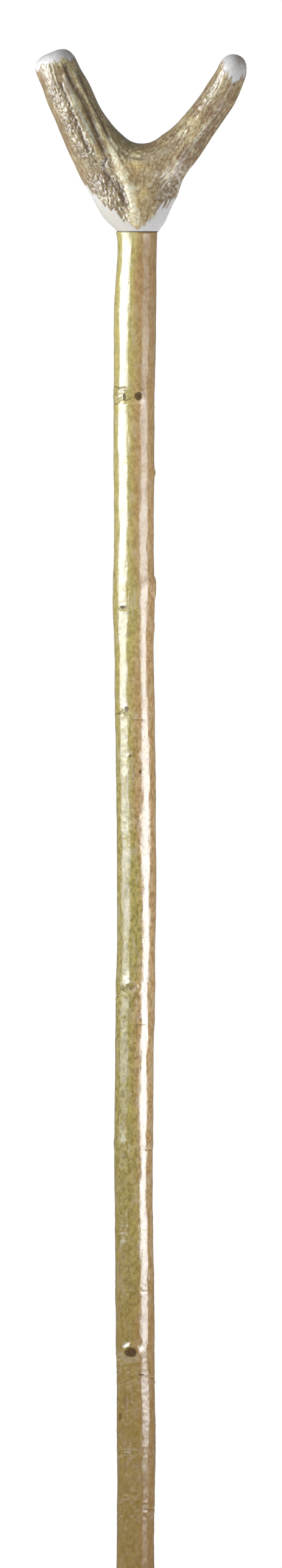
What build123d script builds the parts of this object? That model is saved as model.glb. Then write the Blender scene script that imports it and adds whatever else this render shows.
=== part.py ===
from build123d import *

import os
from math import cos, radians, sin

# Thumb stick: a forked antler handle on a bark-on hazel shank, with a metal ferrule at its foot.
#
# Millimetres, +Z up along the shank. The origin is the centre of the ferrule's flat underside.
# X runs across the fork, from the thick arm (-X) to the thin arm (+X), and Y through its thickness.
# Nothing on the stick moves: a threaded stud bedded in epoxy ties the handle to the shank, and the
# ferrule is glued and pinned over a tenon turned on the shank's lower end.

# ---- driving dimensions ----
OVERALL_HEIGHT = 1300.0
FORK_HEIGHT = 111.0
SHANK_TOP_RADIUS = 12.5
FORK_SEAT_Z = OVERALL_HEIGHT - FORK_HEIGHT  # underside of the antler
FORK_SEAT_X = 1.5  # the shank's slight bow leaves its top end off the foot's centre line
FORK_SEAT_Y = -0.6
GLUE_FILM = 0.3

FERRULE_RADIUS = 11.0
FERRULE_WALL = 1.0
FERRULE_TOP_Z = 34.0
FERRULE_RIM_Z = 1.2  # the steel tread stands this far below the brass
FERRULE_RIM_ROUND = 0.6
TREAD_THICKNESS = 4.0
TREAD_CHAMFER = 0.8
FERRULE_PIN_RADIUS = 0.8
FERRULE_PIN_Z = 24.0
FERRULE_PIN_DEPTH = 9.0
FERRULE_PIN_STUB = 1.0  # length of wire that is filed off outside the ferrule

STUD_RADIUS = 4.0  # M8 studding
STUD_ROOT_RADIUS = 3.35
STUD_PITCH = 1.25
STUD_CREST = 0.2  # length of the flat on a crest and of the flat in a root
STUD_IN_ANTLER = 37.5
STUD_IN_SHANK = 57.5
STUD_BORE_RADIUS = 4.75
STUD_BORE_SPARE = 1.0  # how much deeper each hole is than the stud reaches

TENON_RADIUS = FERRULE_RADIUS - FERRULE_WALL - GLUE_FILM
TENON_BOTTOM_Z = TREAD_THICKNESS + GLUE_FILM
SHANK_TOP_Z = FORK_SEAT_Z - GLUE_FILM
STUD_BOTTOM_Z = FORK_SEAT_Z - STUD_IN_SHANK
STUD_TOP_Z = FORK_SEAT_Z + STUD_IN_ANTLER
BORE_BOTTOM_Z = STUD_BOTTOM_Z - STUD_BORE_SPARE
BORE_TOP_Z = STUD_TOP_Z + STUD_BORE_SPARE

# Shank stations from foot to top: height, bow in X, bow in Y, radius. The stick is a natural
# rod, so it wanders a little from side to side and thickens at its leaf nodes.
SHANK_STATIONS = [
    (FERRULE_TOP_Z, 0.0, 0.0, FERRULE_RADIUS),
    (80.0, -0.4, 0.5, 11.15),
    (150.0, -1.2, 1.0, 11.2),
    (220.0, -1.3, 1.3, 11.3),
    (300.0, -0.4, 1.2, 11.35),
    (385.0, 0.4, 0.6, 11.5),
    (430.0, 0.7, 0.1, 11.4),
    (475.0, 1.0, -0.4, 11.6),
    (520.0, 0.0, -0.8, 11.6),
    (555.0, -0.6, -1.0, 11.7),
    (610.0, -1.5, -1.1, 11.6),
    (645.0, -1.6, -0.9, 11.75),
    (690.0, -0.9, -0.4, 11.75),
    (728.0, 0.1, 0.1, 11.9),
    (745.0, 0.7, 0.3, 11.75),
    (790.0, 1.4, 0.7, 11.9),
    (840.0, 1.0, 0.8, 11.9),
    (885.0, 0.2, 0.7, 12.1),
    (915.0, -0.7, 0.5, 12.0),
    (950.0, -1.4, 0.2, 12.2),
    (990.0, -1.6, -0.2, 12.2),
    (1040.0, -1.3, -0.5, 12.3),
    (1085.0, -1.2, -0.6, 12.45),
    (1105.0, -0.7, -0.6, 12.6),
    (1145.0, 0.1, -0.5, 12.8),
    (1158.0, 0.8, -0.5, 12.4),
    (SHANK_TOP_Z, FORK_SEAT_X, FORK_SEAT_Y, SHANK_TOP_RADIUS),
]

KNOT_ROUND = 0.3  # least rounding of a knot's rim
KNOT_ROUND_SHARE = 0.9  # and how much of its height is rounded besides

# Pared-off side shoots and buds: height, bearing round the shank in degrees (0 faces -Y and 90
# faces +X), radius of the scar and how far it stands proud.
KNOTS = [
    (1089.5, 12.0, 3.2, 0.5),
    (1091.5, -24.0, 4.0, 0.5),
    (1092.0, -84.0, 3.5, 0.6),
    (1042.0, 88.0, 1.3, 0.9),
    (974.0, 80.0, 4.0, 1.0),
    (961.0, -36.0, 2.6, 0.4),
    (949.0, 84.0, 2.0, 0.5),
    (900.5, -21.0, 2.0, 0.6),
    (862.0, 19.0, 2.2, 0.6),
    (820.0, 165.0, 3.6, 0.7),
    (733.0, -18.0, 3.0, 0.8),
    (640.0, -150.0, 3.4, 0.7),
    (512.5, -13.0, 3.6, 0.8),
    (498.0, 28.0, 1.8, 0.4),
    (420.0, 140.0, 3.2, 0.7),
    (330.0, -40.0, 3.0, 0.7),
    (245.0, 100.0, 3.2, 0.7),
    (160.0, -70.0, 3.0, 0.7),
    (96.0, 35.0, 2.8, 0.6),
]

# The crotch and arms are one bent limb. Each station: centre in X and Z above the seat, bend in
# Y, bearing of the limb's outer side in degrees below the -X axis, half width across the fork and
# half thickness through it. They run from the thick arm's tip, round the crotch, to the thin tip.
LIMB_STATIONS = [
    (-47.6, 96.0, 1.8, 24.0, 13.0, 12.4),
    (-43.4, 87.0, 1.5, 25.0, 13.6, 12.7),
    (-38.2, 75.4, 1.0, 26.5, 14.1, 12.9),
    (-32.6, 63.2, 0.4, 29.0, 14.8, 13.1),
    (-25.2, 51.5, 0.0, 37.0, 16.2, 13.3),
    (-13.0, 41.5, 0.0, 62.0, 16.4, 13.3),
    (2.0, 37.6, 0.0, 90.0, 15.6, 13.2),
    (15.6, 42.2, -0.3, 117.0, 14.6, 12.6),
    (24.9, 49.6, -0.8, 133.0, 13.1, 11.7),
    (34.2, 60.4, -1.6, 142.0, 11.2, 10.7),
    (44.1, 73.6, -2.5, 145.0, 10.4, 10.0),
    (52.9, 87.8, -3.3, 151.0, 9.8, 9.5),
    (57.2, 97.0, -3.8, 160.0, 9.0, 9.2),
]
THICK_TIP_LENGTH = 13.4
THICK_TIP_SQUARENESS = 3.2  # 2 gives a round dome, and more gives a flatter end
THIN_TIP_LENGTH = 10.6
THIN_TIP_SQUARENESS = 2.1
TIP_STEPS = (0.35, 0.62, 0.82, 0.94, 0.99)

# Neck stations, from the seat up into the limb: height above the seat, centre in X from the
# seat's centre, half width and half thickness.
NECK_STATIONS = [
    (0.0, 0.0, 12.6, 12.6),
    (2.2, -0.2, 14.9, 12.9),
    (6.4, -1.1, 18.4, 13.1),
    (13.0, -1.9, 22.0, 13.3),
    (20.0, -2.2, 25.5, 13.4),
    (27.0, -2.9, 28.8, 13.3),
    (34.0, -2.9, 32.2, 13.0),
    (40.0, -2.6, 34.6, 12.4),
]


def fork_point(x, y, z):
    """A point given from the fork's seat, in the part's own frame."""
    return (FORK_SEAT_X + x, FORK_SEAT_Y + y, FORK_SEAT_Z + z)


def limb_section(x, z, y, bearing, half_width, half_thickness):
    """An ellipse square to the limb at one station."""
    outer = Vector(-cos(radians(bearing)), 0, -sin(radians(bearing)))
    along = Vector(sin(radians(bearing)), 0, -cos(radians(bearing)))
    plane = Plane(origin=fork_point(x, y, z), x_dir=outer, z_dir=along)
    return plane * Ellipse(half_width, half_thickness)


def tip_sections(station, length, squareness, outward):
    """Shrinking sections that round off one end of the limb, from the arm to the very end."""
    x, z, y, bearing, half_width, half_thickness = station
    sections = []
    for step in TIP_STEPS:
        share = (1 - step**squareness) ** (1 / squareness)
        reach = length * step * outward
        sections.append(
            limb_section(
                x + reach * sin(radians(bearing)),
                z - reach * cos(radians(bearing)),
                y,
                bearing,
                half_width * share,
                half_thickness * share,
            )
        )
    return sections


def antler_limb():
    """Both arms and the crotch between them, as one smooth loft from tip to tip."""
    first = tip_sections(LIMB_STATIONS[0], THICK_TIP_LENGTH, THICK_TIP_SQUARENESS, -1)
    middle = [limb_section(*station) for station in LIMB_STATIONS]
    last = tip_sections(LIMB_STATIONS[-1], THIN_TIP_LENGTH, THIN_TIP_SQUARENESS, 1)
    return loft([*reversed(first), *middle, *last])


def antler_neck():
    """The flare from the round seat up into the crotch."""
    return loft(
        [
            Plane(origin=fork_point(x, 0, z)) * Ellipse(half_width, half_thickness)
            for z, x, half_width, half_thickness in NECK_STATIONS
        ]
    )


def rod(radius, bottom, top, x=0.0, y=0.0):
    """An upright cylinder between two heights."""
    return Pos(x, y, bottom) * Cylinder(
        radius, top - bottom, align=(Align.CENTER, Align.CENTER, Align.MIN)
    )


def stud_bore(bottom, top):
    """The cutter for a hole that takes the stud and its epoxy."""
    return rod(STUD_BORE_RADIUS, bottom, top, FORK_SEAT_X, FORK_SEAT_Y)


def antler_fork():
    """The whole handle, with the hole for the stud up its middle."""
    return antler_limb() + antler_neck() - stud_bore(FORK_SEAT_Z, BORE_TOP_Z)


def shank_centre(z):
    """Centre and radius of the shank at a height, read between the stations."""
    for low, high in zip(SHANK_STATIONS, SHANK_STATIONS[1:]):
        if low[0] <= z <= high[0]:
            share = (z - low[0]) / (high[0] - low[0])
            return [a + share * (b - a) for a, b in zip(low[1:], high[1:])]
    raise ValueError(f"the shank has no station at {z}")


def knot(z, bearing, size, proud):
    """A low round boss on the bark, square to the shank and rounded at its rim."""
    x, y, radius = shank_centre(z)
    direction = Vector(sin(radians(bearing)), -cos(radians(bearing)), 0)
    boss = Cylinder(size, radius / 2, align=(Align.CENTER, Align.CENTER, Align.MAX))
    rim = boss.edges().filter_by(GeomType.CIRCLE).sort_by(Axis.Z)[-1]
    boss = fillet(rim, KNOT_ROUND + KNOT_ROUND_SHARE * proud)
    return Plane(Vector(x, y, z) + direction * (radius + proud), (0, 0, 1), direction) * boss


def hazel_shank():
    """The bark-on rod and its knots, with the tenon, the hole for the stud and the pins' holes."""
    bark = loft([Plane(origin=(x, y, z)) * Circle(r) for z, x, y, r in SHANK_STATIONS])
    tenon = rod(TENON_RADIUS, TENON_BOTTOM_Z, FERRULE_TOP_Z)
    rod_with_knots = bark.fuse(tenon, *[knot(*place) for place in KNOTS])
    return rod_with_knots - stud_bore(BORE_BOTTOM_Z, SHANK_TOP_Z) - ferrule_pins()


def thread_outline():
    """Half section of the stud: crests and roots at the thread's pitch, chamfered at both ends."""
    points = [(0, STUD_BOTTOM_Z), (STUD_ROOT_RADIUS, STUD_BOTTOM_Z)]
    flank = (STUD_PITCH - 2 * STUD_CREST) / 2
    turns = int((STUD_TOP_Z - STUD_BOTTOM_Z) / STUD_PITCH)
    for turn in range(turns):
        z = STUD_BOTTOM_Z + turn * STUD_PITCH
        points.append((STUD_RADIUS, z + flank))
        points.append((STUD_RADIUS, z + flank + STUD_CREST))
        points.append((STUD_ROOT_RADIUS, z + 2 * flank + STUD_CREST))
        points.append((STUD_ROOT_RADIUS, z + STUD_PITCH))
    points.append((0, STUD_BOTTOM_Z + turns * STUD_PITCH))
    return points


def joint_stud():
    """The threaded stud, standing upright across the joint."""
    outline = Polyline([(r, 0, z) for r, z in thread_outline()], close=True)
    profile = make_face(outline)
    return Pos(FORK_SEAT_X, FORK_SEAT_Y, 0) * revolve(profile, Axis.Z)


def stud_epoxy(stud, bottom, top):
    """The epoxy that fills one hole round the stud."""
    return stud_bore(bottom, top) - stud


def joint_glue_bed():
    """The film of glue between the antler's seat and the shank's end."""
    bed = rod(SHANK_TOP_RADIUS, SHANK_TOP_Z, FORK_SEAT_Z, FORK_SEAT_X, FORK_SEAT_Y)
    return bed - stud_bore(SHANK_TOP_Z, FORK_SEAT_Z)


def ferrule_pins():
    """Two brass pins, driven in from opposite sides and filed flush with the ferrule."""
    barrel = rod(FERRULE_RADIUS, 0, FERRULE_TOP_Z)
    pins = []
    for side in (-1, 1):
        middle = side * (FERRULE_RADIUS + FERRULE_PIN_STUB / 2 - FERRULE_PIN_DEPTH / 2)
        wire = Cylinder(FERRULE_PIN_RADIUS, FERRULE_PIN_DEPTH + FERRULE_PIN_STUB)
        pins.append(Pos(middle, 0, FERRULE_PIN_Z) * (Rot(0, 90, 0) * wire) & barrel)
    return Compound(children=pins)


def ferrule_cup():
    """The brass tube, rounded at its lower rim and pierced by the pins."""
    tube = rod(FERRULE_RADIUS, FERRULE_RIM_Z, FERRULE_TOP_Z)
    rims = tube.edges().filter_by(GeomType.CIRCLE)
    tube = fillet(rims.sort_by(Axis.Z)[0], FERRULE_RIM_ROUND)
    bore = rod(FERRULE_RADIUS - FERRULE_WALL, FERRULE_RIM_Z, FERRULE_TOP_Z)
    return tube - bore - ferrule_pins()


def ferrule_tread():
    """The steel disc that meets the ground."""
    disc = rod(FERRULE_RADIUS - FERRULE_WALL, 0, TREAD_THICKNESS)
    return chamfer(disc.edges().sort_by(Axis.Z)[0], TREAD_CHAMFER)


def ferrule_glue():
    """The glue round and under the tenon."""
    filling = rod(FERRULE_RADIUS - FERRULE_WALL, TREAD_THICKNESS, FERRULE_TOP_Z)
    tenon = rod(TENON_RADIUS, TENON_BOTTOM_Z, FERRULE_TOP_Z)
    return filling - tenon - ferrule_pins()


def build():
    """Every separate piece of the stick, by the name of its node."""
    stud = joint_stud()
    return {
        "antler_fork": antler_fork(),
        "hazel_shank": hazel_shank(),
        "joint_stud": stud,
        "stud_epoxy_in_antler": stud_epoxy(stud, FORK_SEAT_Z, BORE_TOP_Z),
        "stud_epoxy_in_shank": stud_epoxy(stud, BORE_BOTTOM_Z, FORK_SEAT_Z),
        "joint_glue_bed": joint_glue_bed(),
        "ferrule_cup": ferrule_cup(),
        "ferrule_tread": ferrule_tread(),
        "ferrule_glue": ferrule_glue(),
        "ferrule_pins": ferrule_pins(),
    }


os.makedirs("parts", exist_ok=True)
for node, shape in build().items():
    export_step(shape, f"parts/{node}.step")
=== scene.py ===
"""The looks of a thumb stick: an antler fork on a varnished hazel shank, with a brass ferrule.

The antler and the bark are sculpted round the CAD pieces, as meshes with their own relief, and
replace them. Every other piece keeps its CAD shape and gets its material here. Sculpting is done
in millimetres from the fork's seat, where the antler meets the shank, and Blender's own units are
metres.
"""

from itertools import product
from math import cos, pi, radians, sin

import bpy
import numpy as np
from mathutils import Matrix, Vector
from mathutils.bvhtree import BVHTree

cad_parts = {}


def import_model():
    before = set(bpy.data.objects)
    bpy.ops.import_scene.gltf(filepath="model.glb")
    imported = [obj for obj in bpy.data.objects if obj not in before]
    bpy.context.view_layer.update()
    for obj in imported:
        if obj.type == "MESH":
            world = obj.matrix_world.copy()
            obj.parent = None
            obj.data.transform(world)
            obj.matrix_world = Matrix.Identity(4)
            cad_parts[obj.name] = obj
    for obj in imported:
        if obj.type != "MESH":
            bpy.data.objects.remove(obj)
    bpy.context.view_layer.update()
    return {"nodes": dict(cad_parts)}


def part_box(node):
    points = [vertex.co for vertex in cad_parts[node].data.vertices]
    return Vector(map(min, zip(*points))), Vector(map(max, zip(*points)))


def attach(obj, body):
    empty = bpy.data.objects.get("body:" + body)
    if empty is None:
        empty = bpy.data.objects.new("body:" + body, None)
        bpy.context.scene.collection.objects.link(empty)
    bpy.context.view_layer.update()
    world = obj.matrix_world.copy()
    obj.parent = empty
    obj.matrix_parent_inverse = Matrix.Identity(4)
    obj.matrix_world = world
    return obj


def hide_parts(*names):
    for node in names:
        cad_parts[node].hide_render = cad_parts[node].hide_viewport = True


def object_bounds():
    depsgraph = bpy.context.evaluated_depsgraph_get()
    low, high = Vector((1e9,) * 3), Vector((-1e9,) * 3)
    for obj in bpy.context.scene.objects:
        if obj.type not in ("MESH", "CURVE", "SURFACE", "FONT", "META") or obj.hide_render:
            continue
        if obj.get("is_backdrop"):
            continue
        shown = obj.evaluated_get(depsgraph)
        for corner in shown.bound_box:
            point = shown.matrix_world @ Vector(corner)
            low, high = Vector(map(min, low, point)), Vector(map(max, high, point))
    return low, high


MM = 0.001

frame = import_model()

glue_low, glue_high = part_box("joint_glue_bed")
SEAT = np.array([(glue_low[0] + glue_high[0]) / 2, (glue_low[1] + glue_high[1]) / 2, glue_high[2]])


# ---------------------------------------------------------------- numbers for sculpting


def smoothstep(low, high, value):
    """0 below low and 1 above high, with a soft change between them."""
    t = np.clip((value - low) / (high - low), 0.0, 1.0)
    return t * t * (3.0 - 2.0 * t)


def bell(value, width):
    """1 where the value is 0, falling away on both sides over about that width."""
    return np.exp(-((value / width) ** 2))


def hashed(cell, seed):
    """A repeatable number from 0 to 1 for each lattice cell, a row of three whole numbers."""
    h = cell @ np.array([374761393, 668265263, 1440662683]) + seed * 974634777
    h &= 0xFFFFFFFF
    h = ((h ^ (h >> 13)) * 1274126177) & 0xFFFFFFFF
    return ((h ^ (h >> 16)) & 0xFFFF) / 65535.0


def noise(points, seed, octaves=1):
    """Smooth random values from -1 to 1, with one bump or hollow about every unit of length."""
    total = np.zeros(len(points))
    size = 1.0
    for octave in range(octaves):
        scaled = points * 2.0**octave
        base = np.floor(scaled).astype(np.int64)
        part = scaled - base
        part = part * part * (3.0 - 2.0 * part)
        value = np.zeros(len(points))
        for corner in product((0, 1), repeat=3):
            weight = np.prod(np.where(np.array(corner), part, 1.0 - part), axis=1)
            value += weight * hashed(base + corner, seed + octave)
        total += size * (2.0 * value - 1.0)
        size *= 0.5
    return total


def cells(points, seed):
    """For scattered seeds, about one in each unit cube: the distance to the nearest one, the
    distance to the next nearest, and a random number that belongs to the nearest."""
    base = np.floor(points).astype(np.int64)
    nearest = np.full(len(points), 9.0)
    second = np.full(len(points), 9.0)
    own = np.zeros(len(points))
    for step in product((-1, 0, 1), repeat=3):
        cell = base + step
        spot = cell + np.stack([hashed(cell, seed + axis) for axis in range(3)], axis=1)
        distance = np.linalg.norm(points - spot, axis=1)
        closer = distance < nearest
        second = np.where(closer, nearest, np.minimum(second, distance))
        own = np.where(closer, hashed(cell, seed + 3), own)
        nearest = np.where(closer, distance, nearest)
    return nearest, second, own


def smooth_line(points, count):
    """A Catmull-Rom curve through the points, as that many evenly spread samples."""
    points = np.array(points, float)
    padded = np.vstack([2 * points[0] - points[1], points, 2 * points[-1] - points[-2]])
    samples = []
    for t in np.linspace(0, len(points) - 1 - 1e-9, count):
        i = int(t)
        f = t - i
        a, b, c, d = padded[i : i + 4]
        samples.append(
            0.5 * (2 * b + (c - a) * f + (2 * a - 5 * b + 4 * c - d) * f**2 + (3 * b - a - 3 * c + d) * f**3)
        )
    return np.array(samples)


def nearest_on_line(points, line):
    """For each point: its distance to the line, how far along the line that is from 0 to 1, and
    the nearest point itself. The line is a row of samples."""
    best = np.full(len(points), 1e9)
    share = np.zeros(len(points))
    foot = np.zeros_like(points)
    for i in range(len(line) - 1):
        start, span = line[i], line[i + 1] - line[i]
        t = np.clip((points - start) @ span / (span @ span), 0.0, 1.0)
        spot = start + t[:, None] * span
        distance = np.linalg.norm(points - spot, axis=1)
        closer = distance < best
        best = np.where(closer, distance, best)
        share = np.where(closer, (i + t) / (len(line) - 1), share)
        foot[closer] = spot[closer]
    return best, share, foot


# ---------------------------------------------------------------- meshes


def coordinates(mesh):
    """The vertices of a mesh, in millimetres from the fork's seat."""
    flat = np.empty(len(mesh.vertices) * 3, np.float32)
    mesh.vertices.foreach_get("co", flat)
    return (flat.reshape(-1, 3).astype(float) - SEAT) / MM


def set_coordinates(mesh, points):
    """Puts the vertices at points given in millimetres from the fork's seat."""
    mesh.vertices.foreach_set("co", (points * MM + SEAT).astype(np.float32).ravel())
    mesh.update()


def normals(mesh):
    """The vertices' normals."""
    flat = np.empty(len(mesh.vertices) * 3, np.float32)
    mesh.vertex_normals.foreach_get("vector", flat)
    return flat.reshape(-1, 3).astype(float)


def store(mesh, name, values):
    """Keeps one number for each vertex, or one row of three, for a material to read."""
    kind = "FLOAT" if values.ndim == 1 else "FLOAT_VECTOR"
    key = "value" if values.ndim == 1 else "vector"
    mesh.attributes.new(name, kind, "POINT").data.foreach_set(key, values.astype(np.float32).ravel())


def relaxed(points, mesh, rounds, amount):
    """The points after each has moved towards its neighbours' average, where amount allows."""
    ends = np.empty(len(mesh.edges) * 2, np.int32)
    mesh.edges.foreach_get("vertices", ends)
    a, b = ends.reshape(-1, 2).T
    count = np.bincount(ends, minlength=len(points))[:, None]
    for _ in range(rounds):
        total = np.zeros_like(points)
        for axis in range(3):
            total[:, axis] += np.bincount(a, points[b, axis], len(points))
            total[:, axis] += np.bincount(b, points[a, axis], len(points))
        points = points + amount[:, None] * (total / count - points)
    return points


def new_piece(name, mesh, material, node):
    """Puts a finished mesh in the scene as the visible form of a CAD node."""
    mesh.shade_smooth()
    mesh.materials.clear()
    mesh.materials.append(material)
    piece = bpy.data.objects.new(name, mesh)
    bpy.context.scene.collection.objects.link(piece)
    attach(piece, "root")
    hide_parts(node)


# ---------------------------------------------------------------- node helpers


def srgb(red, green, blue):
    """A colour given as it looks on screen, from 0 to 255, as linear light with full alpha."""
    linear = [
        (c / 12.92 if c <= 0.04045 else ((c + 0.055) / 1.055) ** 2.4)
        for c in (red / 255, green / 255, blue / 255)
    ]
    return (*linear, 1.0)


class Shader:
    """A material and short calls that add nodes to it. Each call returns an output socket."""

    def __init__(self, name):
        self.material = bpy.data.materials.new(name)
        self.material.use_nodes = True
        self.tree = self.material.node_tree
        self.surface = self.tree.nodes["Principled BSDF"]

    def feed(self, node, name, value):
        """Sets an input to a value, or links it if the value is another node's output."""
        if isinstance(value, bpy.types.NodeSocket):
            self.tree.links.new(value, node.inputs[name])
        else:
            node.inputs[name].default_value = value

    def set(self, **inputs):
        """Sets or links the shader's own sockets, such as Base_Color."""
        for name, value in inputs.items():
            self.feed(self.surface, name.replace("_", " "), value)

    def add(self, kind, inputs, output=0, **settings):
        """Adds a node with those inputs and settings, and returns one of its outputs."""
        node = self.tree.nodes.new("ShaderNode" + kind)
        for name, value in settings.items():
            setattr(node, name, value)
        for name, value in inputs.items():
            self.feed(node, name, value)
        return node.outputs[output]

    def place(self, scale):
        """The place on the object in millimetres, multiplied by a scale for each axis."""
        return self.scaled(self.add("TexCoord", {}, "Object"), [s / MM for s in scale])

    def scaled(self, vector, scale):
        """A vector with each axis multiplied by its own scale."""
        return self.add("VectorMath", {0: vector, 1: scale}, operation="MULTIPLY")

    def read(self, name, kind="Fac"):
        """What store() kept on the mesh under that name."""
        return self.add("Attribute", {}, kind, attribute_name=name)

    def noise(self, vector, detail=3.0, roughness=0.55, distortion=0.0):
        """Noise from 0 to 1 with features about one unit across."""
        return self.add("TexNoise", {"Vector": vector, "Scale": 1.0, "Detail": detail,
                                     "Roughness": roughness, "Distortion": distortion})

    def range(self, value, low, high, to_low=0.0, to_high=1.0):
        """Maps low to high smoothly onto to_low to to_high."""
        return self.add("MapRange", {"Value": value, "From Min": low, "From Max": high,
                                     "To Min": to_low, "To Max": to_high}, interpolation_type="SMOOTHSTEP")

    def math(self, operation, a, b=0.0):
        """The result of a sum or comparison on one or two numbers."""
        return self.add("Math", {0: a, 1: b}, operation=operation)

    def times(self, a, b):
        """The product of two numbers."""
        return self.math("MULTIPLY", a, b)

    def mix(self, factor, a, b):
        """Colour a where the factor is 0, changing to b where it is 1."""
        return self.add("Mix", {0: factor, 6: a, 7: b}, 2, data_type="RGBA")

    def layers(self, colour, covers):
        """A colour with others laid over it in turn, each given as its cover from 0 to 1 and itself."""
        for cover, over in covers:
            colour = self.mix(cover, colour, over)
        return colour

    def bump(self, height, distance):
        """A normal for relief whose full height is that distance in millimetres."""
        return self.add("Bump", {"Height": height, "Distance": distance * MM})


# ---------------------------------------------------------------- antler

ANTLER_VOXEL = 0.54  # millimetres between the sculpted mesh's vertices

# The lowest place of the gap between the arms, and how round it is there.
CROTCH_X = 2.9
CROTCH_Z = 53.3
CROTCH_RADIUS = 15.0
CROTCH_REACH = 14  # how far from there its floor is evened out

# The middle of each arm from the seat to its tip: X and Z from the seat.
THICK_SPINE = [(-1.0, 0), (-8.5, 16), (-16.5, 31), (-24.5, 47), (-32.6, 63.2), (-40.5, 80), (-48, 97),
               (-53, 108)]
THIN_SPINE = [(1.0, 0), (7.5, 16), (15, 31), (24, 46.5), (34.2, 60.4), (44.1, 73.6), (53, 88), (60, 106)]

# Lines along the arms, each as points in X and Z from the seat, from its upper end down.
CREAM_RIDGE = [(-39.5, 99), (-35.4, 90), (-32.3, 82.5), (-27.2, 71.7), (-21.7, 60), (-15.8, 50.7),
               (-11.6, 41.9), (-8.4, 32.4), (-5.3, 25.7), (-3.0, 17.6), (-2.1, 7.4), (-2.2, 1)]
DARK_GROOVE = [(-44.7, 103), (-41.1, 93.8), (-37.9, 87.5), (-33.9, 80.5), (-29.8, 72), (-26.4, 62.6),
               (-21.8, 52), (-18, 45)]
INNER_GROOVE = [(-37.2, 99), (-33.2, 90.5), (-29.6, 81.5), (-24.6, 71), (-19.5, 60.5), (-16.8, 55.5)]
PITTED_GROOVE = [(-18.4, 46), (-20.5, 38), (-16.5, 31.5), (-10.5, 25), (-7.5, 14)]
CROTCH_GROOVE = [(-20, 59), (-16.4, 53.8), (-13.2, 49.9), (-9.2, 47.1), (-5.2, 45.1), (1.2, 43.9), (8, 45)]
RIDGE_FOOT_GROOVE = [(-9.5, 44), (-6.6, 38.2), (-3, 32.4), (0.4, 24), (1.6, 14)]
# a ridge with a painted reflection: the bluish grey laid on it stands in for what its smooth face mirrors
RIDGE_WITH_PAINTED_REFLECTION = [(-44.4, 95.5), (-40.4, 84.8), (-34.9, 71.3), (-29.4, 60.2), (-24.5, 49)]
PEARL_GROOVE = [(-47.2, 92), (-43.4, 82), (-38.5, 70), (-33.6, 58), (-28.5, 46)]
THIN_INNER_GROOVE = [(49.6, 99), (42.6, 85.7), (34, 73), (24.3, 61), (14, 53)]
THIN_MIDDLE_GROOVE = [(53.5, 92), (46, 78), (37, 65), (26, 54), (12, 47)]
THIN_OUTER_GROOVE = [(58, 88), (51, 74.5), (42, 61), (33, 49), (24, 35)]
NECK_GROOVE = [(13, 40), (9.5, 28), (6.5, 16), (5.2, 5)]
FRONT, BACK = -1, 1

# Ridges (+) and grooves (-) along such lines: the side of the fork they are on, how far they stand
# proud, and their half width at the upper and at the lower end.
RELIEF_LINES = [
    (FRONT, 0.6, 1.1, 3.0, CREAM_RIDGE),
    (FRONT, -1.4, 1.4, 2.1, DARK_GROOVE),
    (FRONT, -0.9, 1.1, 1.2, INNER_GROOVE),
    (FRONT, -1.1, 1.2, 2.2, PITTED_GROOVE),
    (FRONT, -0.5, 1.0, 1.1, CROTCH_GROOVE),
    (FRONT, -0.35, 1.0, 1.3, RIDGE_FOOT_GROOVE),
    (FRONT, 0.45, 1.8, 1.8, RIDGE_WITH_PAINTED_REFLECTION),
    (FRONT, -0.7, 1.0, 1.2, PEARL_GROOVE),
    (FRONT, -0.45, 0.8, 1.0, THIN_INNER_GROOVE),
    (FRONT, -0.3, 1.0, 1.5, THIN_MIDDLE_GROOVE),
    (FRONT, -0.25, 1.0, 1.6, THIN_OUTER_GROOVE),
    (FRONT, -0.2, 1.2, 1.4, NECK_GROOVE),
    (BACK, -1.1, 1.1, 1.6, [(-47, 99), (-40, 85), (-33.5, 70), (-25, 54), (-17, 38), (-10, 22), (-5, 8)]),
    (BACK, 0.8, 1.6, 2.4, [(-43.5, 98), (-36.5, 84), (-29.5, 69), (-21, 54.5), (-12, 40), (-5, 24), (-1, 8)]),
    (BACK, -0.8, 1.0, 1.4, [(-39, 97), (-32, 82), (-25, 68), (-16, 56), (-5, 47.5), (6, 45)]),
    (BACK, -0.7, 1.0, 1.4, [(55, 97), (48.5, 82), (39, 67.5), (28, 54), (17, 40), (8, 22)]),
    (BACK, 0.5, 1.6, 2.2, [(58.5, 93), (52, 78), (43, 64), (33, 50), (22, 36), (12, 20)]),
    (BACK, -0.5, 0.9, 1.2, [(49.5, 97), (42, 83), (32.5, 70), (21, 59), (9, 52)]),
]

# How high the polished ivory reaches round the base, by place across it from -1, the thick arm's
# edge, to 1, the thin arm's edge.
BASE_ACROSS = [-1.0, -0.8, -0.62, -0.45, -0.1, 0.28, 0.4, 0.56, 0.62, 0.86, 1.0]
BASE_IVORY_FRONT = [28, 18, 12.5, 8, 2.5, 2.5, 4.5, 10.5, 15, 18, 20]
BASE_IVORY_BACK = [28, 23, 16, 9, 6, 4, 6, 9, 14, 18, 20]

# Where the polished ivory of each tip ends, on the front: points in X and Z from the seat.
THICK_TIP_EDGE = [(-61.5, 97), (-58, 100), (-54, 101.2), (-49.1, 101.7), (-44.7, 105), (-41.5, 103.3),
                  (-38.7, 104.1)]
THIN_TIP_EDGE = [(49.5, 103.5), (51.2, 101), (52.9, 96.1), (57, 89.7), (61.8, 91.3), (65, 94)]

# How far each kind of relief stands proud of the skin, or is sunk in it, in millimetres.
DEEP_LINE = 0.8  # a ridge or groove this high or deep has its full colour
FIBRE_RELIEF = 0.22
THREAD_RELIEF = 0.12
GRIT_RELIEF = 0.07
TANGLED_GRIT_RELIEF = 0.13  # on top of that where the fibres tangle
PEARL_RELIEF = 0.95
SMALL_PEARL_RELIEF = 0.35
PEARL_BED = 0.32  # how far the skin between pearls is sunk
LUMP_RELIEF = 0.3
RUFFLE_RELIEF = 0.08
SHOULDER_RELIEF = 0.8
SHOULDER_Z = 40.0  # the thick arm's outer edge is fuller about this high
IVORY_SUNK = 0.2
IVORY_FIBRES = 0.04
SEAT_BLEND = 1.6  # the relief fades out over this height above the seat
STUD_HOLE_REACH = 5.2  # no relief inside the stud's hole
STUD_HOLE_TOP = 39.5


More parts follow.
